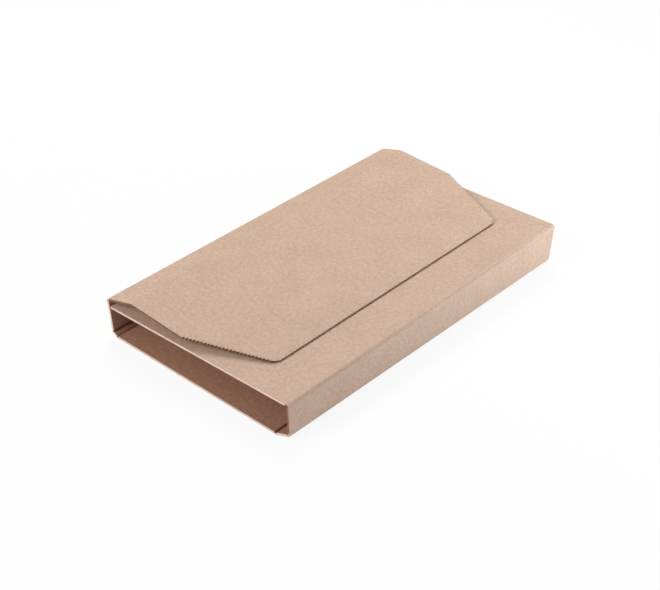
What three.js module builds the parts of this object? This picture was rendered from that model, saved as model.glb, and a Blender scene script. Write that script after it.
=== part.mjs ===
// Wraparound mailer: one sheet of kraft board folded round into a wrap that is open at both ends.
// The closure flap has a serrated edge, lies loose on the inner flap and opens at the left wall's top fold.
// Millimetres, +Z up. X runs across the wrap and Y along its folds, from the middle of the base's underside.

import * as THREE from "three";

// Driving sizes of the whole wrap
const LENGTH = 320;
const WIDTH = 187;
const BOARD = 2;

// The empty wrap stands a little taller at its far end. Its walls lean to the left at the near end and as
// far to the right at the far end.
const NEAR_HEIGHT = 33;
const FAR_HEIGHT = 37;
const WALL_LEAN = 2;

// Square folds: the outside radius and the flats that stand for the bend
const FOLD_RADIUS = 2.6;
const FOLD_FLATS = 5;

// Each wall has a second crease in the base beside it, so a narrow strip rises from the base to the wall.
// The right strip stands up at the near end and lies almost flat at the far end.
const LEFT_STRIP_RUN = 5;
const LEFT_STRIP_RISE = 3.5;
const RIGHT_STRIP_RUN = 14;
const RIGHT_STRIP_NEAR_RISE = 5;
const RIGHT_STRIP_FAR_RISE = 0.6;

// Inner flap: it hangs from the right wall's top fold and its free edge sinks between the walls
const INNER_FLAP_SINK = 6;
const INNER_FLAP_CLEARANCE = 2.5;

// Closure flap: its first strip climbs from the left wall, and the rest comes down on the inner flap.
// Reaches are level distances from the outer face of the left wall.
const CLOSURE_STRIP_RUN = 21.5;
const CLOSURE_STRIP_RISE = 6.5;
const CLOSURE_STRAIGHT_REACH = 78;
const CLOSURE_FRONT_REACH = 149;
const CLOSURE_CORNER_SETBACK = 29;
const CLOSURE_CORNER_RADIUS = 13;
const TOOTH_PITCH = 3;
const TOOTH_DEPTH = 1.2;

// Clearances: under the closure flap's front edge, and between its cut face and the end of the fold
const REST_CLEARANCE = 0.3;
const HINGE_CLEARANCE = 0.4;

const leftFace = -WIDTH / 2;
const rightFace = WIDTH / 2;

// A folded sheet is drawn by its outer face, in X and Z. The board is on the right of the way it is drawn.
function direction(from, to) {
  return to.clone().sub(from).normalize();
}

function boardSide(along) {
  return new THREE.Vector2(along.y, -along.x);
}

// From the outer face to the inner face where two flat panels meet at a crease
function creaseOffset(before, after) {
  const sum = boardSide(before).add(boardSide(after));
  return sum.multiplyScalar(BOARD / (1 + before.dot(after)));
}

// From a square fold's corner to where its bend starts or ends
function foldTangent(before, after) {
  return FOLD_RADIUS * Math.tan(Math.acos(before.dot(after)) / 2);
}

// The outer and inner face of a square fold at a corner, as points round its bend
function squareFold(corner, before, after) {
  const turn = Math.acos(before.dot(after));
  const start = corner.clone().addScaledVector(before, -foldTangent(before, after));
  const centre = start.clone().addScaledVector(boardSide(before), FOLD_RADIUS);
  const outer = [];
  const inner = [];
  for (let i = 0; i <= FOLD_FLATS; i++) {
    const spoke = boardSide(before).negate().rotateAround(new THREE.Vector2(), (-turn * i) / FOLD_FLATS);
    outer.push(centre.clone().addScaledVector(spoke, FOLD_RADIUS));
    inner.push(centre.clone().addScaledVector(spoke, FOLD_RADIUS - BOARD));
  }
  return { outer, inner };
}

// The closed outline of a folded sheet, anticlockwise seen from the near end.
// A sheet whose last corner is square ends with that fold, turned towards the direction given.
function sheetOutline(corners, lastDirection) {
  const edge = corners[0].point;
  const edgeBoardSide = boardSide(direction(edge, corners[1].point));
  const outer = [edge];
  const inner = [edge.clone().addScaledVector(edgeBoardSide, BOARD)];
  for (let i = 1; i < corners.length; i++) {
    const { point, square } = corners[i];
    const before = direction(corners[i - 1].point, point);
    const after = i + 1 < corners.length ? direction(point, corners[i + 1].point) : lastDirection;
    if (square) {
      const fold = squareFold(point, before, after);
      outer.push(...fold.outer);
      inner.push(...fold.inner);
    } else {
      outer.push(point);
      inner.push(point.clone().add(creaseOffset(before, after)));
    }
  }
  return [...inner, ...outer.reverse()];
}

// A closed mesh between the outline at the near end and the outline at the far end
function loftAlongFolds(nearOutline, farOutline) {
  const count = nearOutline.length;
  const positions = [];
  for (const point of nearOutline) {
    positions.push(point.x, -LENGTH / 2, point.y);
  }
  for (const point of farOutline) {
    positions.push(point.x, LENGTH / 2, point.y);
  }
  const triangles = [];
  for (let i = 0; i < count; i++) {
    const next = (i + 1) % count;
    triangles.push(i, i + count, next + count);
    triangles.push(i, next + count, next);
  }
  for (const [a, b, c] of THREE.ShapeUtils.triangulateShape(nearOutline, [])) {
    triangles.push(a, b, c);
  }
  for (const [a, b, c] of THREE.ShapeUtils.triangulateShape(farOutline, [])) {
    triangles.push(a + count, c + count, b + count);
  }
  return closedGeometry(positions, triangles);
}

function closedGeometry(positions, triangles) {
  const geometry = new THREE.BufferGeometry();
  geometry.setAttribute("position", new THREE.Float32BufferAttribute(positions, 3));
  geometry.setIndex(triangles);
  geometry.computeVertexNormals();
  return geometry;
}

// Where the upper panels meet, in X and Z on the outer face, in a section with this height and lean
function upperCorners(height, lean) {
  const leftTop = new THREE.Vector2(leftFace + lean, height);
  const rightTop = new THREE.Vector2(rightFace + lean, height);
  const innerFlapEdge = new THREE.Vector2(BOARD + INNER_FLAP_CLEARANCE, -INNER_FLAP_SINK).add(leftTop);
  const closureCrease = new THREE.Vector2(CLOSURE_STRIP_RUN, CLOSURE_STRIP_RISE).add(leftTop);
  return { leftTop, rightTop, innerFlapEdge, closureCrease };
}

const middle = upperCorners((NEAR_HEIGHT + FAR_HEIGHT) / 2, 0);
const stripDirection = direction(middle.leftTop, middle.closureCrease);

// Folded wrap: inner flap, right wall, right strip, base, left strip and left wall, up to the end of its fold
function wrapOutline(upper, rightStripRise) {
  const corners = [
    { point: upper.innerFlapEdge },
    { point: upper.rightTop, square: true },
    { point: new THREE.Vector2(rightFace, rightStripRise), square: true },
    { point: new THREE.Vector2(rightFace - RIGHT_STRIP_RUN, 0) },
    { point: new THREE.Vector2(leftFace + LEFT_STRIP_RUN, 0) },
    { point: new THREE.Vector2(leftFace, LEFT_STRIP_RISE) },
    { point: upper.leftTop, square: true },
  ];
  return sheetOutline(corners, stripDirection);
}

function foldedWrap() {
  const nearOutline = wrapOutline(upperCorners(NEAR_HEIGHT, -WALL_LEAN), RIGHT_STRIP_NEAR_RISE);
  const farOutline = wrapOutline(upperCorners(FAR_HEIGHT, WALL_LEAN), RIGHT_STRIP_FAR_RISE);
  return loftAlongFolds(nearOutline, farOutline);
}

// The hinge line is the end of the left top fold, on the outer face, and runs along the top folds
const wallDirection = new THREE.Vector2(0, 1);
const hingeReach = foldTangent(wallDirection, stripDirection);
const hingePoint = middle.leftTop.clone().addScaledVector(stripDirection, hingeReach);
const alongTopFolds = new THREE.Vector3(2 * WALL_LEAN, LENGTH, FAR_HEIGHT - NEAR_HEIGHT).normalize();

// The closure flap's front edge rests on the inner flap
const innerFlapDirection = direction(middle.innerFlapEdge, middle.rightTop);
const frontX = leftFace + CLOSURE_FRONT_REACH;
const frontFromFold = frontX - middle.rightTop.x;
const innerFlapUnderFront = middle.rightTop.y + (frontFromFold * innerFlapDirection.y) / innerFlapDirection.x;
const closureFront = new THREE.Vector2(frontX, innerFlapUnderFront + REST_CLEARANCE + BOARD);
const panelDirection = direction(middle.closureCrease, closureFront);

// The flap's blank lies flat in u, from the crease towards the front edge, and v, along the folds
const panelLength = middle.closureCrease.distanceTo(closureFront);
const straightLength = (CLOSURE_STRAIGHT_REACH - CLOSURE_STRIP_RUN) / panelDirection.x;
const stripLength = hingePoint.distanceTo(middle.closureCrease) - HINGE_CLEARANCE;

// The cutting line from the near end round the front edge to the far end, before its teeth
function closureCutLine() {
  const slant = Math.atan2(CLOSURE_CORNER_SETBACK, panelLength - straightLength);
  const turn = Math.PI / 2 - slant;
  const tangent = CLOSURE_CORNER_RADIUS * Math.tan(turn / 2);
  const centreU = panelLength - CLOSURE_CORNER_RADIUS;
  const centreV = LENGTH / 2 - CLOSURE_CORNER_SETBACK - tangent;
  const line = new THREE.Path();
  line.moveTo(straightLength, -LENGTH / 2);
  line.absarc(centreU, -centreV, CLOSURE_CORNER_RADIUS, -turn, 0, false);
  line.absarc(centreU, centreV, CLOSURE_CORNER_RADIUS, 0, turn, false);
  line.lineTo(straightLength, LENGTH / 2);
  return line;
}

// Teeth of a serrated cutting rule: every second point steps into the board, which is on the line's left
function serrated(line) {
  const teeth = Math.round(line.getLength() / TOOTH_PITCH);
  const points = line.getSpacedPoints(2 * teeth);
  return points.map((point, i) => {
    if (i % 2 === 0) {
      return point.clone();
    }
    const along = direction(points[i - 1], points[i + 1]);
    return point.clone().add(new THREE.Vector2(-along.y, along.x).multiplyScalar(TOOTH_DEPTH));
  });
}

// Triangles over the panel: one on each tooth's tip, and a fan from its middle to the line of the notches
function panelTriangles(start, end, hub) {
  const triangles = [];
  const ring = [start - 1, start];
  for (let notch = start + 1; notch < end; notch += 2) {
    ring.push(notch);
    if (notch + 1 < end) {
      triangles.push([notch, notch + 1, notch + 2]);
    }
  }
  ring.push(end, end + 1);
  for (let i = 0; i < ring.length; i++) {
    triangles.push([hub, ring[i], ring[(i + 1) % ring.length]]);
  }
  return triangles;
}

// The blank folded at the crease, as a closed mesh with its origin on the hinge line
function closureFlap() {
  const cutLine = serrated(closureCutLine());
  const outline = [
    new THREE.Vector2(-stripLength, -LENGTH / 2),
    new THREE.Vector2(0, -LENGTH / 2),
    ...cutLine,
    new THREE.Vector2(0, LENGTH / 2),
    new THREE.Vector2(-stripLength, LENGTH / 2),
  ];
  const count = outline.length;
  const blank = [...outline, new THREE.Vector2(panelLength / 2, 0)];
  const faceSize = blank.length;
  const creaseInward = creaseOffset(stripDirection, panelDirection);
  const positions = [];
  for (const onInnerFace of [0, 1]) {
    for (const { x: u, y: v } of blank) {
      const along = u < 0 ? stripDirection : panelDirection;
      const inward = u === 0 ? creaseInward : boardSide(along).multiplyScalar(BOARD);
      const place = middle.closureCrease.clone().addScaledVector(along, u).addScaledVector(inward, onInnerFace);
      place.sub(hingePoint);
      positions.push(place.x, v, place.y);
    }
  }
  const cutStart = 2;
  const cutEnd = cutStart + cutLine.length - 1;
  const hub = count;
  const strip = [[0, 1, cutEnd + 1], [0, cutEnd + 1, cutEnd + 2]];
  const panel = panelTriangles(cutStart, cutEnd, hub);
  const triangles = [];
  for (const [a, b, c] of [...strip, ...panel]) {
    triangles.push(a, b, c);
    triangles.push(a + faceSize, c + faceSize, b + faceSize);
  }
  for (let i = 0; i < count; i++) {
    const next = (i + 1) % count;
    triangles.push(i, i + faceSize, next + faceSize);
    triangles.push(i, next + faceSize, next);
  }
  return closedGeometry(positions, triangles);
}

function kraftBoard(color) {
  return new THREE.MeshStandardMaterial({ color, roughness: 0.9, metalness: 0 });
}

function namedMesh(name, geometry, material) {
  const mesh = new THREE.Mesh(geometry, material);
  mesh.name = name;
  return mesh;
}

const mailer = new THREE.Group();
mailer.name = "wraparound_mailer";
mailer.add(namedMesh("folded_wrap", foldedWrap(), kraftBoard(0xcbac95)));

// The closure flap turns about its own Y axis, which is laid along the top folds
const closure = namedMesh("closure_flap", closureFlap(), kraftBoard(0xd1b29b));
const upright = new THREE.Vector3(0, 0, 1);
const acrossFolds = new THREE.Vector3().crossVectors(alongTopFolds, upright).normalize();
const awayFromBase = new THREE.Vector3().crossVectors(acrossFolds, alongTopFolds);
const hingeFrame = new THREE.Matrix4().makeBasis(acrossFolds, alongTopFolds, awayFromBase);
closure.position.set(hingePoint.x, 0, hingePoint.y);
closure.quaternion.setFromRotationMatrix(hingeFrame);
mailer.add(closure);

export default mailer;
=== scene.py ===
"""A wraparound mailer of kraft board, drawn as a flat blank, cut, folded up and given its thickness."""

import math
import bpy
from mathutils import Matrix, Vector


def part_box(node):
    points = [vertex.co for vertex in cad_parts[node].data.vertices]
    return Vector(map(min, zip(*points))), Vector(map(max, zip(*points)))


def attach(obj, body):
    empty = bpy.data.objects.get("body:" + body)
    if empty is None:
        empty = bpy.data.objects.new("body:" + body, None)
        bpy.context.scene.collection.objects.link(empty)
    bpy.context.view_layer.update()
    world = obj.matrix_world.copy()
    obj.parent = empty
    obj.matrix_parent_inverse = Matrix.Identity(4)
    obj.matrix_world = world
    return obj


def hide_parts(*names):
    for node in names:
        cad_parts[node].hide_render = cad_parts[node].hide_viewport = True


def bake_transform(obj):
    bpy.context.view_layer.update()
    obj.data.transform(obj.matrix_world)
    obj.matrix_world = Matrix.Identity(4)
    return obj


bl_info = {
    "name": "Wraparound mailer",
    "version": (1, 0, 0),
    "blender": (4, 5, 0),
    "location": "3D View > Sidebar > Mailer",
    "description": "Folds a kraft mailer from its blank and sets it on a pale stage",
    "category": "Add Mesh",
}

import bmesh
import bpy
from bpy.props import FloatProperty, FloatVectorProperty, PointerProperty
from mathutils import Quaternion, Vector

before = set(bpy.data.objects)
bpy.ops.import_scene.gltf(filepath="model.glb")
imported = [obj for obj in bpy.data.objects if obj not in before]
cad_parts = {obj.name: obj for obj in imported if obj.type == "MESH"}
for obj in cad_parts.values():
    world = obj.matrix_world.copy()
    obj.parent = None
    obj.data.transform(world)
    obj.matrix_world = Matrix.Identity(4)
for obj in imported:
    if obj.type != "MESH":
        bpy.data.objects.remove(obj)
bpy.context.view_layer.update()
WRAP_LOW, WRAP_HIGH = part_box("folded_wrap")

# A place counts as on a line when it is nearer to it than this, and as beside it within the second
NEAR_ENOUGH = 1e-5
BESIDE = 1e-4

# Order of the papers and cuts in each piece's material slots
OUTSIDE, INSIDE, CLEAN_CUT, CRUSHED_AND_SHADED_SLOT = range(4)


def metres(name, description, default):
    """A size in metres for the sidebar."""
    return FloatProperty(name=name, description=description, default=default, unit="LENGTH", precision=4)


def degrees(name, description, default):
    """An angle for the sidebar, given in degrees and kept in radians."""
    default = math.radians(default)
    return FloatProperty(
        name=name, description=description, default=default, subtype="ANGLE", unit="ROTATION"
    )


def share(name, description, default):
    """A part of a whole for the sidebar."""
    return FloatProperty(
        name=name, description=description, default=default, subtype="FACTOR", min=0, max=1
    )


def colour(name, description, default):
    """A linear colour for the sidebar."""
    return FloatVectorProperty(
        name=name, description=description, default=default, subtype="COLOR", min=0, max=1
    )


class MailerSizes(bpy.types.PropertyGroup):
    """Sizes of the board and of the folded mailer."""

    length: metres("Length", "Along the folds", WRAP_HIGH.y - WRAP_LOW.y)
    width: metres("Width", "Between the bottom creases of the two walls", 0.187)
    board: metres("Board", "Thickness of the board", 0.002)
    fold_radius: metres("Fold radius", "Outside radius of a square fold", 0.0026)
    crease_width: metres("Crease width", "How far a shallow crease is rounded on each side", 0.0006)
    near_height: metres("Near height", "Height of the top folds at the near end", 0.033)
    far_height: metres("Far height", "Height of the top folds at the far end", 0.037)
    lean: metres("Lean", "How far the walls lean left at the near end and right at the far end", 0.002)
    left_strip_run: metres("Left strip run", "Level width of the strip beside the left wall", 0.005)
    left_strip_rise: metres("Left strip rise", "Height of the left wall's bottom crease", 0.0035)
    right_strip_run: metres("Right strip run", "Level width of the strip beside the right wall", 0.014)
    right_near_rise: metres("Right near rise", "Height of the right crease at the near end", 0.005)
    right_far_rise: metres("Right far rise", "Height of the right crease at the far end", 0.0006)
    inner_sink: metres("Inner flap sink", "How far the inner flap's free edge hangs below its fold", 0.006)
    inner_clearance: metres("Inner flap clearance", "From the free edge to the left wall", 0.0012)
    closure_strip_run: metres("Closure strip run", "Level width of the closure flap's first strip", 0.0215)
    closure_strip_rise: metres("Closure strip rise", "How far that strip climbs", 0.0065)
    straight_reach: metres("Straight reach", "From the left wall to where the slanting cut starts", 0.078)
    front_reach: metres("Front reach", "From the left wall to the closure flap's front edge", 0.149)
    corner_setback: metres("Corner setback", "How far in the slanting cut ends", 0.029)
    corner_radius: metres("Corner radius", "Rounding of the closure flap's corners", 0.013)
    tooth_pitch: metres("Tooth pitch", "Spacing of the serrated cut", 0.003)
    tooth_depth: metres("Tooth depth", "Depth of the serrated cut", 0.0012)
    rest_clearance: metres("Rest clearance", "Under the closure flap's front edge", 0.0003)
    slack: metres("Slack", "How much further the left wall leans at the near end", 0.0026)
    crease_skew: metres("Crease skew", "How far the closure crease runs off at the near end", 0.0076)
    crease_margin: metres("Crease margin", "How far a groove reaches past its fold's rounding", 0.0009)
    crushed_share: share("Crushed share", "What a crushed crease leaves of the board's thickness", 0.42)
    front_press: metres("Front press", "How much thinner the board is pressed at its front edge", 0.0006)
    cut_rounding: metres("Cut rounding", "How far the outer liner curves down at the cut", 0.0011)
    arris: metres("Arris", "Width of the bevel along every cut edge", 0.00012)


class MailerColours(bpy.types.PropertyGroup):
    """Colours of the kraft paper."""

    kraft_dark: colour("Outside dark mottle", "Darker clouds of the outer liner", (0.50, 0.345, 0.250))
    kraft_light: colour("Outside light mottle", "Paler clouds of the outer liner", (0.70, 0.510, 0.395))
    # Partly painted shade: the inside liner is a darker, redder brown than the outside, and its colours are
    # made darker still to stand in for the shade inside the mailer.
    liner_dark_with_shade: colour("Inside dark mottle", "Darker clouds of the inner liner", (0.36, 0.182, 0.114))
    liner_light_with_shade: colour("Inside light mottle", "Paler clouds of the inner liner", (0.55, 0.310, 0.215))
    # Partly painted shade: this colour darkens every crease, strongly on the inside liner, for crushed
    # fibres and for the shade that falls in the creases. It is also the dark mottle of the dark cut.
    pressed_and_shaded: colour("Pressed crease", "Fibres crushed dark in the creases", (0.10, 0.045, 0.026))
    fleck: colour("Fleck", "Dark specks in the pulp", (0.27, 0.155, 0.095))
    cut_edge: colour("Cut edge", "The fresh cut through the board", (0.88, 0.69, 0.59))
    cut_edge_dark: colour("Cut edge shade", "Torn fibres in that cut", (0.62, 0.43, 0.34))
    # Partly painted shade: the dark cut colour stands for the crushed edge of the serrated cut and for the
    # shade in the gap under the flap's cut edges.
    crushed_and_shaded_cut: colour("Crushed cut", "The crushed edge that a serrated rule leaves", (0.32, 0.18, 0.115))


class MailerStage(bpy.types.PropertyGroup):
    """The camera's place and lens, and the brightness of the room."""

    azimuth: degrees("Azimuth", "Round from looking along +Y", 40.70)
    elevation: degrees("Elevation", "Above the horizon", 34.90)
    roll: degrees("Roll", "Turn about the line of sight", 1.51)
    distance: metres("Distance", "From the target to the camera", 1.185)
    lens: FloatProperty(
        name="Lens", description="Focal length in millimetres", default=79.75, unit="CAMERA"
    )
    target: FloatVectorProperty(
        name="Target",
        description="What the camera looks at",
        default=(-0.0075, -0.0035, 0.0),
        subtype="XYZ",
        unit="LENGTH",
    )
    floor_white: share("Floor white", "Share of pure white in the floor that the camera sees", 0.90)
    room_light: share("Room light", "Strength of the light that comes from all sides", 0.34)


# Layout of the folded section and of the flat blank


class Chain:
    """Panels in order from the base outwards, on one side of it, at the middle of the wrap."""

    def __init__(self, side, start, corners):
        self.side = side
        self.points = [Vector((x, 0, z)) for x, z in [start, *corners]]
        self.widths = [(b - a).length for a, b in zip(self.points, self.points[1:])]
        self.creases = [start[0]]
        for width in self.widths:
            self.creases.append(self.creases[-1] + side * width)

    def bend(self, number):
        """How far the sheet turns at a crease, towards the inside."""
        def heading(panel):
            if panel < 0:
                return 0.0
            step = self.points[panel + 1] - self.points[panel]
            return math.atan2(step.z, step.x * self.side) % (2 * math.pi)

        return heading(number) - heading(number - 1)


def right_chain(sizes):
    """Right strip, right wall and inner flap."""
    half = sizes.width / 2
    height = (sizes.near_height + sizes.far_height) / 2
    rise = (sizes.right_near_rise + sizes.right_far_rise) / 2
    inner_edge = -half + sizes.board + sizes.inner_clearance
    corners = [(half, rise), (half, height), (inner_edge, height - sizes.inner_sink)]
    return Chain(1, (half - sizes.right_strip_run, 0), corners)


def left_chain(sizes):
    """Left strip, left wall, closure strip and closure panel."""
    half = sizes.width / 2
    height = (sizes.near_height + sizes.far_height) / 2
    front = -half + sizes.front_reach
    inner_span = sizes.width - sizes.board - sizes.inner_clearance
    inner_under_front = height - sizes.inner_sink * (half - front) / inner_span
    crease = (-half + sizes.closure_strip_run, height + sizes.closure_strip_rise)
    front_edge = (front, inner_under_front + sizes.rest_clearance + sizes.board)
    corners = [(-half, sizes.left_strip_rise), (-half, height), crease, front_edge]
    return Chain(-1, (-half + sizes.left_strip_run, 0), corners)


# Modelling with edit-mode operators


def deselect_everything():
    """Leaves edit mode and selects nothing."""
    if bpy.context.object and bpy.context.object.mode != "OBJECT":
        bpy.ops.object.mode_set(mode="OBJECT")
    bpy.ops.object.select_all(action="DESELECT")


def start_blank(name, first, last, depth):
    """A flat sheet between two places in X, left in edit mode, with a map for its place on the blank."""
    deselect_everything()
    bpy.ops.mesh.primitive_plane_add(size=1, location=(0, 0, 0))
    piece = bpy.context.object
    piece.name = name
    piece.data.name = name
    piece.data.uv_layers[0].name = "blank"
    bpy.ops.object.mode_set(mode="EDIT")
    bpy.ops.mesh.select_all(action="SELECT")
    bpy.ops.transform.resize(value=(abs(last - first), depth, 1))
    bpy.ops.transform.translate(value=((first + last) / 2, 0, 0))
    return piece


def pick(piece, kind, wanted):
    """Selects the corners, edges or faces whose corners are all wanted, and nothing else."""
    bpy.ops.mesh.select_mode(type=kind)
    bpy.ops.mesh.select_all(action="DESELECT")
    mesh = bmesh.from_edit_mesh(piece.data)
    if kind == "VERT":
        for corner in mesh.verts:
            corner.select_set(wanted(corner.co))
    else:
        for part in mesh.edges if kind == "EDGE" else mesh.faces:
            part.select_set(all(wanted(corner.co) for corner in part.verts))
    mesh.select_flush_mode()
    bmesh.update_edit_mesh(piece.data)


def on_crease(x):
    """A test for the places on a line across the flat sheet."""
    return lambda place: abs(place.x - x) < NEAR_ENOUGH


def add_strips(piece, start, steps):
    """Extrudes the sheet's last edge once for each step."""
    for step in steps:
        if step:
            pick(piece, "EDGE", on_crease(start))
            bpy.ops.mesh.extrude_region_move(TRANSFORM_OT_translate={"value": (step, 0, 0)})
            start += step


def add_panel(piece, sizes, chain, number):
    """Adds a panel with a narrow band beside each of its creases."""
    inner = band(sizes, chain, number)
    outer = band(sizes, chain, number + 1)
    steps = (inner, chain.widths[number] - inner - outer, outer)
    add_strips(piece, chain.creases[number], [chain.side * step for step in steps])


def tangent(sizes, chain, number):
    """How far a fold's rounding reaches on each side of its crease."""
    bend = chain.bend(number)
    if bend < math.radians(40):
        return sizes.crease_width
    return sizes.fold_radius * math.tan(bend / 2)


def band(sizes, chain, number):
    """Width of the band beside a crease that keeps its rounding and groove local."""
    if number == len(chain.widths):
        return 0
    return tangent(sizes, chain, number) + sizes.crease_margin


def note_blank_places(piece):
    """Writes each corner's place on the flat blank, in metres, to the piece's own map."""
    mesh = bmesh.from_edit_mesh(piece.data)
    layer = mesh.loops.layers.uv["blank"]
    for face in mesh.faces:
        for loop in face.loops:
            loop[layer].uv = loop.vert.co.xy
    bmesh.update_edit_mesh(piece.data)


def fold(piece, pivot, along, angle, side):
    """Turns everything beyond a crease towards the inside. Without a window a turn goes the other way."""
    pick(piece, "VERT", lambda place: (place - pivot).dot(along) > NEAR_ENOUGH)
    bpy.ops.transform.rotate(value=side * angle, orient_axis="Y", center_override=pivot)


def fold_up(piece, chain):
    """Folds a chain of panels from the base outwards."""
    along = Vector((chain.side, 0, 0))
    for number in range(len(chain.widths)):
        pivot = chain.points[number]
        angle = chain.bend(number)
        fold(piece, pivot, along, angle, chain.side)
        along = (chain.points[number + 1] - pivot).normalized()


def round_crease(piece, sizes, chain, number):
    """Rounds a crease of the section."""
    corner = chain.points[number]
    reach = tangent(sizes, chain, number)
    segments = 2 if reach == sizes.crease_width else 6
    pick(piece, "EDGE", lambda place: abs(place.x - corner.x) < BESIDE and abs(place.z - corner.z) < BESIDE)
    bpy.ops.mesh.bevel(offset=reach, segments=segments, affect="EDGES")


def crush_crease(piece, sizes, chain, number, twist=0.0):
    """Presses the inner liner towards the outer one along a crease, as the creasing rule does."""
    limit = math.hypot(tangent(sizes, chain, number), sizes.board) + 0.0003
    for end in (-1, 1):
        corner = chain.points[number] - Vector((0, 0, end * twist))
        bpy.ops.mesh.select_mode(type="VERT")
        bpy.ops.mesh.select_all(action="DESELECT")
        mesh = bmesh.from_edit_mesh(piece.data)
        for place in mesh.verts:
            inside = any(face.material_index == INSIDE for face in place.link_faces)
            away = math.hypot(place.co.x - corner.x, place.co.z - corner.z)
            place.select_set(inside and away < limit and (place.co.y + BESIDE) * end > 0)
        mesh.select_flush_mode()
        bmesh.update_edit_mesh(piece.data)
        crushed = (sizes.crushed_share, 1, sizes.crushed_share)
        bpy.ops.transform.resize(value=crushed, center_override=corner)


def paint_cut_dark(piece, wanted):
    """Gives the clean cut faces whose centres are wanted the dark cut colour, which is partly crushed
    fibres and partly painted shade.
    """
    mesh = bmesh.from_edit_mesh(piece.data)
    for face in mesh.faces:
        if face.material_index == CLEAN_CUT and wanted(face.calc_center_median()):
            face.material_index = CRUSHED_AND_SHADED_SLOT
    bmesh.update_edit_mesh(piece.data)


def lean_and_taper(piece, sizes):
    """A cage round the wrap that leans its top and makes the far end taller."""
    height = (sizes.near_height + sizes.far_height) / 2
    lift = (sizes.far_height - sizes.near_height) / 2
    bpy.ops.object.add(type="LATTICE", location=(0, 0, height / 2))
    cage = bpy.context.object
    cage.scale = (sizes.width, sizes.length, height)
    lattice = cage.data
    lattice.points_u = lattice.points_v = lattice.points_w = 2
    lattice.interpolation_type_u = "KEY_LINEAR"
    lattice.interpolation_type_v = "KEY_LINEAR"
    lattice.interpolation_type_w = "KEY_LINEAR"
    for point in lattice.points:
        if point.co.z > 0:
            end = math.copysign(1, point.co.y)
            slack = sizes.slack if point.co.x < 0 and point.co.y < 0 else 0
            shift = Vector(((end * sizes.lean - slack) / sizes.width, 0, end * lift / height))
            point.co_deform = point.co + shift
    deselect_everything()
    piece.select_set(True)
    bpy.context.view_layer.objects.active = piece
    piece.modifiers.new("cage", "LATTICE").object = cage
    bpy.ops.object.modifier_apply(modifier="cage")
    bpy.data.objects.remove(cage)


def give_thickness(piece, sizes):
    """Turns the outer face into board, with its own material on the inside and on the cut edge."""
    board = piece.modifiers.new("board", "SOLIDIFY")
    board.thickness = sizes.board
    board.offset = -1
    board.use_even_offset = True
    board.material_offset = INSIDE
    board.material_offset_rim = CLEAN_CUT
    bpy.ops.object.modifier_apply(modifier="board")


def break_edges(piece, sizes):
    """Takes the sharpness off the cut edges and shades the sheet smooth."""
    arris = piece.modifiers.new("arris", "BEVEL")
    arris.width = sizes.arris
    arris.segments = 1
    arris.limit_method = "ANGLE"
    arris.angle_limit = math.radians(50)
    bpy.ops.object.modifier_apply(modifier="arris")
    bpy.ops.object.shade_smooth_by_angle(angle=math.radians(30))


# Shader maths as expressions


class Term:
    """A socket whose sums and products add Math nodes."""

    def __init__(self, paint, socket):
        self.paint = paint
        self.socket = socket

    def _math(self, operation, *values):
        sockets = dict(enumerate(values))
        return self.paint.node("ShaderNodeMath", {"operation": operation}, sockets)

    def __add__(self, other):
        return self._math("ADD", self, other)

    __radd__ = __add__

    def __sub__(self, other):
        return self._math("SUBTRACT", self, other)

    def __rsub__(self, other):
        return self._math("SUBTRACT", other, self)

    def __mul__(self, other):
        return self._math("MULTIPLY", self, other)

    __rmul__ = __mul__

    def __truediv__(self, other):
        return self._math("DIVIDE", self, other)

    def __abs__(self):
        return self._math("ABSOLUTE", self)

    def at_least(self, low):
        return self._math("MAXIMUM", self, low)

    def at_most(self, high):
        return self._math("MINIMUM", self, high)

    def clamped(self):
        return self.at_least(0.0).at_most(1.0)


class Paint:
    """One material and its nodes."""

    def __init__(self, name):
        self.material = bpy.data.materials.new(name)
        self.material.use_nodes = True
        self.tree = self.material.node_tree
        self.tree.nodes.clear()

    def node(self, kind, settings=None, sockets=None, output=0):
        """Adds a node, gives it its settings and then its sockets' values or links."""
        made = self.tree.nodes.new(kind)
        for name, value in (settings or {}).items():
            setattr(made, name, value)
        for name, value in (sockets or {}).items():
            if isinstance(value, Term):
                self.tree.links.new(value.socket, made.inputs[name])
            else:
                made.inputs[name].default_value = value
        return Term(self, made.outputs[output])

    def noise(self, place, scale, detail, roughness=0.5, stretch=(1, 1, 1), shift=(0, 0, 0)):
        """Noise from about 0 to 1 over a place in metres. Scale is in cells for each metre."""
        sockets = {"Vector": place, "Location": shift, "Scale": stretch}
        moved = self.node("ShaderNodeMapping", {}, sockets)
        sockets = {"Vector": moved, "Scale": scale, "Detail": detail, "Roughness": roughness}
        return self.node("ShaderNodeTexNoise", {}, sockets)

    def mix(self, part, first, second):
        """The first colour where the part is 0 and the second where it is 1."""
        factor, colour_a, colour_b, mixed = 0, 6, 7, 2
        sockets = {factor: part, colour_a: first, colour_b: second}
        return self.node("ShaderNodeMix", {"data_type": "RGBA"}, sockets, output=mixed)

    def finish(self, shader):
        """Links the shader to the material's output."""
        made = self.tree.nodes.new("ShaderNodeOutputMaterial")
        self.tree.links.new(shader.socket, made.inputs["Surface"])
        return self.material


def opaque(values):
    """A colour with its alpha."""
    return (*values, 1.0)


def crease_marks(paint, across, creases, reach):
    """1 on the line of a crease, fading to 0 beside it."""
    marks = 0.0
    for crease in creases:
        marks = marks + (1.0 - abs(across - crease) / reach).at_least(0.0)
    return marks


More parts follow.
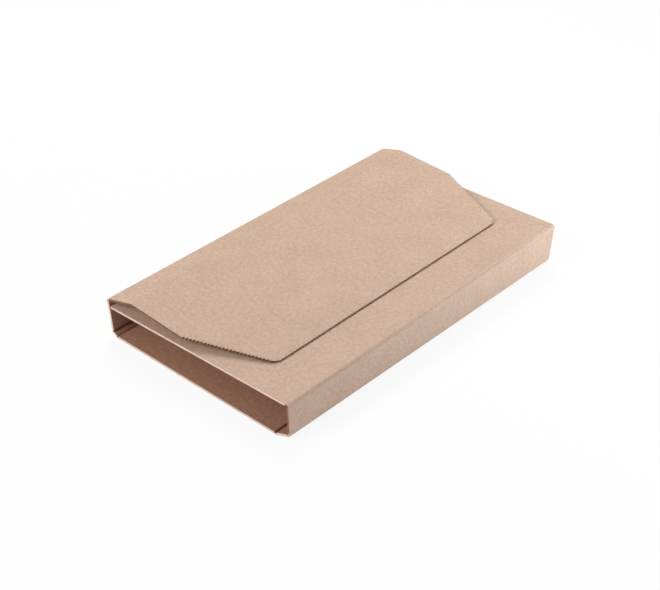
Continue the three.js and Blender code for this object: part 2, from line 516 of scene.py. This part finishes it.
def kraft_face(name, dark, light, colours, creases, shift, pressed_and_shaded, reach):
    """Uncoated kraft paper: clouds of pulp, fine fibres, specks and dark crease marks, partly crushed
    fibres and partly painted shade in the creases.
    """
    paint = Paint(name)
    place = paint.node("ShaderNodeUVMap", {"uv_map": "blank"})
    across = paint.node("ShaderNodeSeparateXYZ", {}, {"Vector": place})
    clouds = paint.noise(place, 40, 2, shift=shift)
    cloudlets = paint.noise(place, 290, 3, 0.6, shift=shift)
    fibres = paint.noise(place, 800, 2, 0.6, stretch=(1.6, 0.4, 1), shift=shift)
    cross_fibres = paint.noise(place, 800, 2, 0.6, stretch=(0.45, 1.5, 1), shift=shift)
    grain = paint.noise(place, 2300, 2, 0.7, shift=shift)
    specks = paint.noise(place, 900, 1, 0.5, stretch=(1, 0.6, 1), shift=shift)
    marks = crease_marks(paint, across, creases, reach)
    tone = 0.5 + (clouds - 0.5) * 0.5 + (cloudlets - 0.5) * 1.2 + (fibres - 0.5) * 1.3
    tone = (tone + (cross_fibres - 0.5) * 1.1 + (grain - 0.5) * 1.6).clamped()
    body = paint.mix(tone, opaque(dark), opaque(light))
    speckled = paint.mix(((specks - 0.73) * 12.0).clamped() * 0.45, body, opaque(colours.fleck))
    # Partly painted shade: the crease marks darken the paper along each crease for crushed fibres and for
    # the shade in the crease.
    pressed_and_shaded_creases = paint.mix((marks * pressed_and_shaded).clamped(), speckled, opaque(colours.pressed_and_shaded))
    relief = fibres * 0.5 + grain * 0.35 + clouds * 2.5 - marks * 2.0
    normal = paint.node("ShaderNodeBump", {}, {"Strength": 0.6, "Distance": 0.00012, "Height": relief})
    rough = 0.86 + (fibres - 0.5) * 0.12
    sockets = {"Base Color": pressed_and_shaded_creases, "Roughness": rough, "Specular IOR Level": 0.25, "Normal": normal}
    return paint.finish(paint.node("ShaderNodeBsdfPrincipled", {}, sockets))


def kraft_cut(name, bright, dark):
    """The cut through the board, with short torn fibres."""
    paint = Paint(name)
    place = paint.node("ShaderNodeTexCoord", output="Object")
    fibres = paint.noise(place, 1100, 2, 0.6)
    clouds = paint.noise(place, 260, 2)
    tone = (0.32 + (fibres - 0.5) * 1.6 + (clouds - 0.5) * 1.3).clamped()
    body = paint.mix(tone, opaque(bright), opaque(dark))
    normal = paint.node("ShaderNodeBump", {}, {"Strength": 0.6, "Distance": 0.0001, "Height": fibres})
    sockets = {"Base Color": body, "Roughness": 0.92, "Specular IOR Level": 0.2, "Normal": normal}
    return paint.finish(paint.node("ShaderNodeBsdfPrincipled", {}, sockets))


def board_materials(scene):
    """Outside, inside, clean cut and dark cut, in the order of the pieces' slots, made once. The inside
    liner and the dark cut carry painted shade in part.
    """
    names = ["kraft_outside", "kraft_inside", "kraft_cut_edge", "kraft_crushed_and_shaded_cut"]
    if all(name in bpy.data.materials for name in names):
        return [bpy.data.materials[name] for name in names]
    sizes = scene.mailer_sizes
    colours = scene.mailer_colours
    creases = right_chain(sizes).creases[:3] + left_chain(sizes).creases[:3]
    closure_crease = left_chain(sizes).creases[3]
    outer = (colours.kraft_dark, colours.kraft_light)
    # The inside liner's colours hold painted shade for the inside of the mailer as well as its own darker
    # brown.
    inner = (colours.liner_dark_with_shade, colours.liner_light_with_shade)
    return [
        kraft_face(names[0], *outer, colours, [*creases, closure_crease], (0, 0, 0), 0.06, 0.0009),
        # On the inside the crease marks are strong and wide: painted shade in the valley creases together
        # with crushed fibres.
        kraft_face(names[1], *inner, colours, creases, (0.7, 0.3, 0), 1.1, 0.0020),
        kraft_cut(names[2], colours.cut_edge, colours.cut_edge_dark),
        # The dark cut: crushed fibres and painted shade, mottled with the crease colour.
        kraft_cut(names[3], colours.crushed_and_shaded_cut, colours.pressed_and_shaded),
    ]


def start_sheet_finish(piece, scene):
    """Faces the sheet outwards and gives it its papers and its thickness."""
    bpy.ops.mesh.select_all(action="SELECT")
    bpy.ops.mesh.flip_normals()
    bpy.ops.object.mode_set(mode="OBJECT")
    for material in board_materials(scene):
        piece.data.materials.append(material)
    give_thickness(piece, scene.mailer_sizes)
    bpy.ops.object.mode_set(mode="EDIT")


def end_sheet_finish(piece, scene):
    """Warps the sheet as the wrap is warped and breaks its edges."""
    bpy.ops.object.mode_set(mode="OBJECT")
    lean_and_taper(piece, scene.mailer_sizes)
    break_edges(piece, scene.mailer_sizes)


# Operators


class MAILER_OT_wrap(bpy.types.Operator):
    """Folds the base, right strip, right wall and inner flap."""

    bl_idname = "mailer.wrap"
    bl_label = "Fold the wrap"

    def execute(self, context):
        sizes = context.scene.mailer_sizes
        chain = right_chain(sizes)
        base_left = left_chain(sizes).creases[0]
        edge = band(sizes, chain, 0)
        piece = start_blank("kraft_wrap", base_left, chain.creases[0] - edge, sizes.length)
        add_strips(piece, chain.creases[0] - edge, [edge])
        for number in range(len(chain.widths)):
            add_panel(piece, sizes, chain, number)
        note_blank_places(piece)
        fold_up(piece, chain)
        for number in (2, 1, 0):
            round_crease(piece, sizes, chain, number)
        twist = (sizes.right_near_rise - sizes.right_far_rise) / 2
        self.twist_strip(piece, chain.points[1], twist)
        start_sheet_finish(piece, context.scene)
        crush_crease(piece, sizes, chain, 0)
        crush_crease(piece, sizes, chain, 1, twist)
        crush_crease(piece, sizes, chain, 2)
        wall_inside = sizes.width / 2 - 2 * sizes.board
        wall_foot = 2 * sizes.right_near_rise
        # Gives the right wall's cut edges above its foot the dark cut colour.
        paint_cut_dark(piece, lambda centre: centre.x > wall_inside and centre.z > wall_foot)
        end_sheet_finish(piece, context.scene)
        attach(piece, "wrap")
        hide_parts("folded_wrap")
        return {"FINISHED"}

    def twist_strip(self, piece, wall_crease, twist):
        """Lifts the wall's bottom crease at the near end and lowers it at the far end."""
        nearby = 0.004
        for end in (-1, 1):

            def beside_crease(place):
                away = math.hypot(place.x - wall_crease.x, place.z - wall_crease.z)
                return place.y * end > 0 and away < nearby

            pick(piece, "VERT", beside_crease)
            bpy.ops.transform.translate(value=(0, 0, -end * twist))


class MAILER_OT_closure(bpy.types.Operator):
    """Cuts and folds the left wall and the closure flap, whose hinge is the wall's top fold."""

    bl_idname = "mailer.closure"
    bl_label = "Fold the closure flap"

    def execute(self, context):
        sizes = context.scene.mailer_sizes
        chain = left_chain(sizes)
        edge = band(sizes, chain, 1)
        piece = start_blank("kraft_closure", chain.creases[1] + edge, chain.creases[0], sizes.length)
        add_strips(piece, chain.creases[1] + edge, [-edge])
        for number in range(1, len(chain.widths)):
            add_panel(piece, sizes, chain, number)
        self.cut_corners(piece, chain, sizes)
        self.cut_teeth(piece, chain, sizes)
        self.add_warp_loops(piece, chain, sizes)
        note_blank_places(piece)
        fold_up(piece, chain)
        self.loops_beside_hinge(piece, sizes, chain)
        for number in (1, 2, 3):
            round_crease(piece, sizes, chain, number)
        self.skew_crease(piece, chain, sizes)
        start_sheet_finish(piece, context.scene)
        crush_crease(piece, sizes, chain, 1)
        crush_crease(piece, sizes, chain, 2)
        self.press_serrated_cut(piece, chain, sizes)
        end_sheet_finish(piece, context.scene)
        top_fold, closure_crease = chain.points[2:4]
        along = (closure_crease - top_fold).normalized()
        hinge = top_fold + along * tangent(sizes, chain, 2)
        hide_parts("closure_flap")
        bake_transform(piece)
        return {"FINISHED"}

    def add_warp_loops(self, piece, chain, sizes):
        """Divides the closure panel into a grid, so that it can warp smoothly."""
        columns = 8
        rows = 14
        crease, front = chain.creases[3:5]
        for number in range(1, columns):
            pick(piece, "FACE", lambda place: True)
            line = (crease + (front - crease) * number / columns, 0, 0)
            bpy.ops.mesh.bisect(plane_co=line, plane_no=(1, 0, 0))
        for number in range(1 - rows // 2, rows // 2):
            pick(piece, "FACE", lambda place: True)
            line = (0, sizes.length * number / rows, 0)
            bpy.ops.mesh.bisect(plane_co=line, plane_no=(0, 1, 0))

    def skew_crease(self, piece, chain, sizes):
        """Shifts the closure crease along its strip, most at the near end and not at all at the far end."""
        fold, crease, front = chain.points[2:5]
        bpy.ops.object.mode_set(mode="OBJECT")
        group = piece.vertex_groups.new(name="beside_crease")
        for corner in piece.data.vertices:
            place = corner.co
            strip_share = (place.x - fold.x) / (crease.x - fold.x)
            panel_share = (front.x - place.x) / (front.x - crease.x)
            near_share = 0.5 - place.y / sizes.length
            weight = min(strip_share, panel_share) * near_share
            if weight > 0 and place.z > fold.z - 0.001:
                group.add([corner.index], weight, "REPLACE")
        shift = (crease - fold).normalized() * sizes.crease_skew
        for axis, strength in (("X", shift.x), ("Z", shift.z)):
            skew = piece.modifiers.new("skew", "DISPLACE")
            skew.direction = axis
            skew.strength = strength
            skew.mid_level = 0
            skew.vertex_group = group.name
            bpy.ops.object.modifier_apply(modifier=skew.name)
        piece.vertex_groups.clear()
        bpy.ops.object.mode_set(mode="EDIT")

    def press_serrated_cut(self, piece, chain, sizes):
        """Presses the outer liner down along the serrated cut, and gives the serrated cut and the flap's
        straight cut edges the dark cut colour: crushed fibres and painted shade on the serrated cut,
        painted shade alone on the straight edges.
        """
        top_fold = chain.points[2]
        short_of_ends = sizes.length / 2 - 0.0002
        paint_cut_dark(piece, lambda centre: abs(centre.y) < short_of_ends and centre.z > top_fold.z / 2)
        behind_teeth = chain.points[4].x - 2 * sizes.tooth_depth
        self.pick_rim(piece, lambda place: place.x > behind_teeth)
        bpy.ops.transform.translate(value=(0, 0, -sizes.front_press))
        self.pick_rim(piece, lambda place: True)
        bpy.ops.mesh.bevel(offset=sizes.cut_rounding, segments=2, affect="EDGES")
        # Painted shade: the flap's straight cut edges at both ends get the dark cut colour for the shade in
        # the gap beneath them.
        paint_cut_dark(piece, lambda centre: centre.z > top_fold.z - 0.001 and centre.x > top_fold.x + 0.003)

    def pick_rim(self, piece, wanted):
        """Selects the wanted edges between the outer liner and the dark serrated cut."""
        bpy.ops.mesh.select_mode(type="EDGE")
        bpy.ops.mesh.select_all(action="DESELECT")
        mesh = bmesh.from_edit_mesh(piece.data)
        for edge in mesh.edges:
            on_rim = {face.material_index for face in edge.link_faces} == {OUTSIDE, CRUSHED_AND_SHADED_SLOT}
            edge.select_set(on_rim and all(wanted(corner.co) for corner in edge.verts))
        bmesh.update_edit_mesh(piece.data)

    def cut_line(self, chain, sizes):
        """Where the slanting cut starts on the panel, the front edge, and the cut's slant."""
        crease, front = chain.creases[3], chain.creases[4]
        slope = (chain.points[4] - chain.points[3]).normalized().x
        start = crease - (sizes.straight_reach - sizes.closure_strip_run) / slope
        slant = math.atan2(sizes.corner_setback, start - front)
        return start, front, slant

    def cut_corners(self, piece, chain, sizes):
        """Cuts the two corners off at a slant and rounds what is left of them."""
        start, front, slant = self.cut_line(chain, sizes)
        half = sizes.length / 2
        setback = sizes.corner_radius * math.tan((math.pi / 2 - slant) / 2)
        arc = sizes.corner_radius * (math.pi / 2 - slant)
        segments = 2 * round(arc / sizes.tooth_pitch)
        for end in (-1, 1):
            pick(piece, "FACE", lambda place: place.x < chain.creases[3] + NEAR_ENOUGH)
            outward = (-math.sin(slant), end * math.cos(slant), 0)
            bpy.ops.mesh.bisect(plane_co=(start, end * half, 0), plane_no=outward, clear_outer=True)
        corner = half - sizes.corner_setback

        def at_corner(place):
            return abs(place.x - front) < NEAR_ENOUGH and abs(abs(place.y) - corner) < BESIDE

        pick(piece, "VERT", at_corner)
        bpy.ops.mesh.bevel(offset=setback, segments=segments, affect="VERTICES")

    def cut_teeth(self, piece, chain, sizes):
        """Divides each stretch of the cut at half the pitch and moves its notches into the board."""
        start, front, slant = self.cut_line(chain, sizes)
        half = sizes.length / 2
        setback = sizes.corner_radius * math.tan((math.pi / 2 - slant) / 2)
        front_half = half - sizes.corner_setback - setback
        on_front = on_crease(front)
        self.divide(piece, on_front, 2 * front_half, sizes)
        step = 2 * front_half / self.segments(2 * front_half, sizes)
        pick(piece, "VERT", lambda place: on_front(place) and self.notch((place.y + front_half) / step))
        bpy.ops.transform.translate(value=(sizes.tooth_depth, 0, 0))
        slant_length = (start - front) / math.cos(slant) - setback
        slant_step = slant_length / self.segments(slant_length, sizes)
        centre_x = front + sizes.corner_radius
        turn = math.pi / 2 - slant
        arc_step = turn / (2 * round(sizes.corner_radius * turn / sizes.tooth_pitch))
        shrink = 1 - sizes.tooth_depth / sizes.corner_radius
        for end in (-1, 1):
            origin = Vector((start, end * half, 0))
            along = Vector((-math.cos(slant), -end * math.sin(slant), 0))
            inward = Vector((math.sin(slant), -end * math.cos(slant), 0))

            def on_slant(place):
                off = (place - origin).dot(inward)
                reach = (place - origin).dot(along)
                return abs(off) < 2 * NEAR_ENOUGH and -NEAR_ENOUGH < reach < slant_length + NEAR_ENOUGH

            self.divide(piece, on_slant, slant_length, sizes)

            def on_slant_notch(place):
                return on_slant(place) and self.notch((place - origin).dot(along) / slant_step)

            pick(piece, "VERT", on_slant_notch)
            bpy.ops.transform.translate(value=inward * sizes.tooth_depth)
            centre = Vector((centre_x, end * front_half, 0))

            def on_arc_notch(place):
                spoke = place - centre
                number = math.atan2(end * spoke.y, -spoke.x) / arc_step
                near = abs(spoke.length - sizes.corner_radius) < BESIDE
                return near and 0.5 < number < turn / arc_step - 0.5 and self.notch(number)

            pick(piece, "VERT", on_arc_notch)
            bpy.ops.transform.resize(value=(shrink, shrink, 1), center_override=centre)

    def notch(self, number):
        """Whether a corner at this many half teeth along is the bottom of a notch."""
        return round(number) % 2 == 1

    def segments(self, stretch, sizes):
        """Half teeth along a stretch of the cut."""
        return 2 * round(stretch / sizes.tooth_pitch)

    def divide(self, piece, wanted, stretch, sizes):
        """Divides a stretch into half teeth, in two goes because one go makes no more than 100 cuts."""
        pick(piece, "EDGE", wanted)
        bpy.ops.mesh.subdivide(number_cuts=1)
        pick(piece, "EDGE", wanted)
        bpy.ops.mesh.subdivide(number_cuts=self.segments(stretch, sizes) // 2 - 1)

    def loops_beside_hinge(self, piece, sizes, chain):
        """Edge loops across the closure strip, beside the top fold where the flap hinges."""
        top_fold, closure_crease = chain.points[2:4]
        along = (closure_crease - top_fold).normalized()

        def on_strip(place):
            return place.z > top_fold.z - NEAR_ENOUGH and place.x < closure_crease.x + BESIDE

        for step in (0.0012, 0.0024, 0.0036):
            pick(piece, "FACE", on_strip)
            place_of_loop = top_fold + along * (tangent(sizes, chain, 2) + step)
            bpy.ops.mesh.bisect(plane_co=place_of_loop, plane_no=along)


class MAILER_OT_stage(bpy.types.Operator):
    """Sets the pale floor, the soft lamps, the white world and the camera."""

    bl_idname = "mailer.stage"
    bl_label = "Set the stage"

    def execute(self, context):
        warm = (1.0, 0.985, 0.96)
        cool = (0.85, 0.92, 1.0)
        rosy = (1.0, 0.98, 0.97)
        self.floor(context.scene.mailer_stage)
        self.world(context.scene)
        self.lamp("back_lamp", place=(-0.60, 0.60, 1.20), size=0.7, power=10.4, tint=warm)
        self.lamp("right_lamp", place=(0.45, 0.42, 0.15), size=0.3, power=2.3, tint=cool)
        self.lamp("front_lamp", place=(-0.60, -1.90, 1.30), size=0.8, power=26.0, tint=rosy)
        self.camera(context.scene)
        context.scene.view_settings.view_transform = "Standard"
        return {"FINISHED"}

    def floor(self, stage):
        """A matt floor just under the mailer that looks nearly white to the camera."""
        deselect_everything()
        bpy.ops.mesh.primitive_plane_add(size=12, location=(0, 0, -0.0004))
        floor = bpy.context.object
        floor.name = "pale_floor"
        paint = Paint("pale_floor")
        seen = paint.node("ShaderNodeLightPath")
        white = paint.node("ShaderNodeEmission", {}, {"Color": (1, 1, 1, 1), "Strength": 1.0})
        matt = paint.node("ShaderNodeBsdfDiffuse", {}, {"Color": (0.92, 0.92, 0.92, 1)})
        sockets = {0: seen * stage.floor_white, 1: matt, 2: white}
        floor.data.materials.append(paint.finish(paint.node("ShaderNodeMixShader", {}, sockets)))

    def world(self, scene):
        """Light from all sides that looks white to the camera."""
        world = bpy.data.worlds.new("white_room")
        scene.world = world
        world.use_nodes = True
        nodes = world.node_tree.nodes
        links = world.node_tree.links
        background = nodes["Background"]
        background.inputs["Color"].default_value = (1, 1, 1, 1)
        path = nodes.new("ShaderNodeLightPath")
        level = nodes.new("ShaderNodeMapRange")
        level.inputs["To Min"].default_value = scene.mailer_stage.room_light
        level.inputs["To Max"].default_value = 1.0
        links.new(path.outputs["Is Camera Ray"], level.inputs["Value"])
        links.new(level.outputs["Result"], background.inputs["Strength"])

    def lamp(self, name, place, size, power, tint):
        """A square lamp that faces the middle of the base."""
        deselect_everything()
        bpy.ops.object.light_add(type="AREA", location=place)
        lamp = bpy.context.object
        lamp.name = name
        lamp.data.size = size
        lamp.data.energy = power
        lamp.data.color = tint
        lamp.visible_camera = False
        lamp.rotation_mode = "QUATERNION"
        lamp.rotation_quaternion = (-Vector(place)).to_track_quat("-Z", "Y")

    def camera(self, scene):
        """The camera, from its angles about the target."""
        stage = scene.mailer_stage
        level = math.cos(stage.elevation)
        across = math.sin(stage.azimuth) * level
        along = -math.cos(stage.azimuth) * level
        back = Vector((across, along, math.sin(stage.elevation)))
        deselect_everything()
        bpy.ops.object.camera_add(location=Vector(stage.target) + back * stage.distance)
        camera = bpy.context.object
        camera.name = "photo_camera"
        camera.data.lens = stage.lens
        camera.data.sensor_width = 36
        camera.rotation_mode = "QUATERNION"
        roll = Quaternion((0, 0, 1), stage.roll)
        camera.rotation_quaternion = (-back).to_track_quat("-Z", "Y") @ roll
        scene.camera = camera


class MAILER_PT_sidebar(bpy.types.Panel):
    """Lists the mailer's steps and sizes."""

    bl_label = "Wraparound mailer"
    bl_idname = "MAILER_PT_sidebar"
    bl_space_type = "VIEW_3D"
    bl_region_type = "UI"
    bl_category = "Mailer"

    def draw(self, context):
        layout = self.layout
        for operator in OPERATORS:
            layout.operator(operator.bl_idname)
        for group in (context.scene.mailer_sizes, context.scene.mailer_colours, context.scene.mailer_stage):
            box = layout.box()
            for name in group.bl_rna.properties.keys():
                if name not in ("rna_type", "name"):
                    box.prop(group, name)


OPERATORS = (MAILER_OT_stage, MAILER_OT_wrap, MAILER_OT_closure)
GROUPS = {"mailer_sizes": MailerSizes, "mailer_colours": MailerColours, "mailer_stage": MailerStage}


def register():
    for group in GROUPS.values():
        bpy.utils.register_class(group)
    for operator in OPERATORS:
        bpy.utils.register_class(operator)
    bpy.utils.register_class(MAILER_PT_sidebar)
    for name, group in GROUPS.items():
        setattr(bpy.types.Scene, name, PointerProperty(type=group))


def unregister():
    for name in GROUPS:
        delattr(bpy.types.Scene, name)
    bpy.utils.unregister_class(MAILER_PT_sidebar)
    for operator in reversed(OPERATORS):
        bpy.utils.unregister_class(operator)
    for group in reversed(list(GROUPS.values())):
        bpy.utils.unregister_class(group)


def main():
    """Registers the sidebar and builds the scene in order."""
    register()
    bpy.ops.mailer.stage()
    bpy.ops.mailer.wrap()
    bpy.ops.mailer.closure()


if __name__ == "__main__":
    main()
